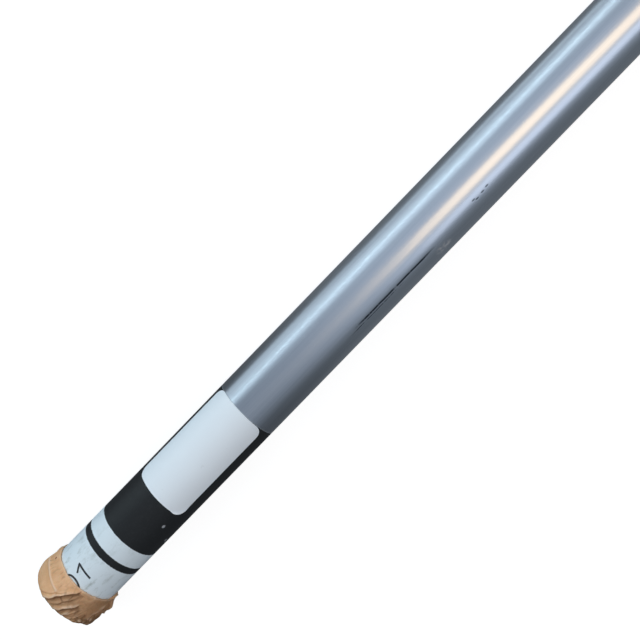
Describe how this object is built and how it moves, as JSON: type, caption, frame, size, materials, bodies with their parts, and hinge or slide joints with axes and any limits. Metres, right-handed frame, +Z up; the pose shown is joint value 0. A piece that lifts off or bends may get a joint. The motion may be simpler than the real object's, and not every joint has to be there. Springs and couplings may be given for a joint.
{
  "type": "folding avalanche probe",
  "caption": "Folding snow search probe of tube sections on a tension cable, with a taped tip, painted bands, a blank label, a grip, a push-button lock and a pull handle.",
  "frame": {"origin": "under the middle of the whole object's box, on the surface that it lies on", "axes": "+X along the folded sections, towards the pull handle; +Z up, out of the surface it lies on"},
  "size_m": [0.457, 0.2732, 0.0164],
  "materials": {
    "section_tube": "satin anodised, with white and black painted bands at each section's lower end",
    "ferrule_metal": "turned, bright",
    "guide_plastic": "matt",
    "steel_cable": "stranded, dull",
    "paper_tape": "crumpled brown paper tape",
    "label_film": "satin white film",
    "tip_metal": "turned",
    "crimp_brass": "dull",
    "grip_rubber": "matt, ribbed",
    "collar_metal": "black anodised",
    "lock_metal": "black anodised, turned",
    "button_plastic": "satin orange",
    "spring_steel": "drawn wire",
    "handle_plastic": "satin orange"
  },
  "bodies": {
    "section_6": {"tube_6": "section_tube", "grip_sleeve": "grip_rubber", "grip_collar_upper": "collar_metal", "grip_collar_lower": "collar_metal", "lock_body": "lock_metal", "lock_spring": "spring_steel", "guide_bush_6": "guide_plastic"},
    "lock_button": {"lock_button": "button_plastic"},
    "pull_cord": {"pull_handle": "handle_plastic", "handle_cap": "collar_metal", "cable_crimp": "crimp_brass", "cable_6": "steel_cable", "lock_barrel": "crimp_brass"},
    "link_6": {"fold_cable_6": "steel_cable"},
    "section_5": {"tube_5": "section_tube", "ferrule_5": "ferrule_metal", "cable_5": "steel_cable", "guide_bush_5": "guide_plastic"},
    "link_5": {"fold_cable_5": "steel_cable"},
    "section_4": {"tube_4": "section_tube", "ferrule_4": "ferrule_metal", "cable_4": "steel_cable", "guide_bush_4": "guide_plastic"},
    "link_4": {"fold_cable_4": "steel_cable"},
    "section_3": {"tube_3": "section_tube", "ferrule_3": "ferrule_metal", "cable_3": "steel_cable", "guide_bush_3": "guide_plastic"},
    "link_3": {"fold_cable_3": "steel_cable"},
    "section_2": {"tube_2": "section_tube", "ferrule_2": "ferrule_metal", "cable_2": "steel_cable", "guide_bush_2": "guide_plastic"},
    "link_2": {"fold_cable_2": "steel_cable"},
    "section_1": {"tube_1": "section_tube", "ferrule_1": "ferrule_metal", "cable_1": "steel_cable", "tip_point": "tip_metal", "cable_anchor": "crimp_brass", "tape_wrap": "paper_tape", "label": "label_film"}
  },
  "joints": [
    {"name": "engage_6", "type": "slide", "parent": "section_6", "child": "link_6", "axis": [1, 0, 0], "range_m": [0, 0.0397], "deforming": ["fold_cable_6"]},
    {"name": "fold_6", "type": "hinge", "parent": "link_6", "child": "section_5", "pos_m": [-0.21998, -0.12155, 0.0075], "axis": [0, 0, 1], "range_deg": [0, 180], "deforming": ["fold_cable_6"]},
    {"name": "engage_5", "type": "slide", "parent": "section_5", "child": "link_5", "axis": [-1, 0, 0], "range_m": [0, 0.0397], "deforming": ["fold_cable_5"]},
    {"name": "fold_5", "type": "hinge", "parent": "link_5", "child": "section_4", "pos_m": [0.22002, -0.10655, 0.0075], "axis": [0, 0, -1], "range_deg": [0, 180], "deforming": ["fold_cable_5"]},
    {"name": "engage_4", "type": "slide", "parent": "section_4", "child": "link_4", "axis": [1, 0, 0], "range_m": [0, 0.0397], "deforming": ["fold_cable_4"]},
    {"name": "fold_4", "type": "hinge", "parent": "link_4", "child": "section_3", "pos_m": [-0.21998, -0.09155, 0.0075], "axis": [0, 0, 1], "range_deg": [0, 180], "deforming": ["fold_cable_4"]},
    {"name": "engage_3", "type": "slide", "parent": "section_3", "child": "link_3", "axis": [-1, 0, 0], "range_m": [0, 0.0397], "deforming": ["fold_cable_3"]},
    {"name": "fold_3", "type": "hinge", "parent": "link_3", "child": "section_2", "pos_m": [0.22002, -0.07655, 0.0075], "axis": [0, 0, -1], "range_deg": [0, 180], "deforming": ["fold_cable_3"]},
    {"name": "engage_2", "type": "slide", "parent": "section_2", "child": "link_2", "axis": [1, 0, 0], "range_m": [0, 0.0397], "deforming": ["fold_cable_2"]},
    {"name": "fold_2", "type": "hinge", "parent": "link_2", "child": "section_1", "pos_m": [-0.21998, -0.06155, 0.0075], "axis": [0, 0, 1], "range_deg": [-25, 155], "deforming": ["fold_cable_2"]},
    {"name": "cord_pull", "type": "slide", "parent": "section_6", "child": "pull_cord", "axis": [1, 0, 0], "range_m": [0, 0.31636]},
    {"name": "button_press", "type": "slide", "parent": "section_6", "child": "lock_button", "axis": [0, 0, -1], "range_m": [0, 0.0018], "stiffness_N_per_m": 600, "springref_m": -0.002, "deforming": ["lock_spring"]}
  ],
  "couplings": [
    {"joint": "engage_5", "follows": "engage_6", "ratio": 1},
    {"joint": "engage_4", "follows": "engage_6", "ratio": 1},
    {"joint": "engage_3", "follows": "engage_6", "ratio": 1},
    {"joint": "engage_2", "follows": "engage_6", "ratio": 1},
    {"joint": "cord_pull", "follows": "engage_6", "ratio": 7.9675}
  ]
}
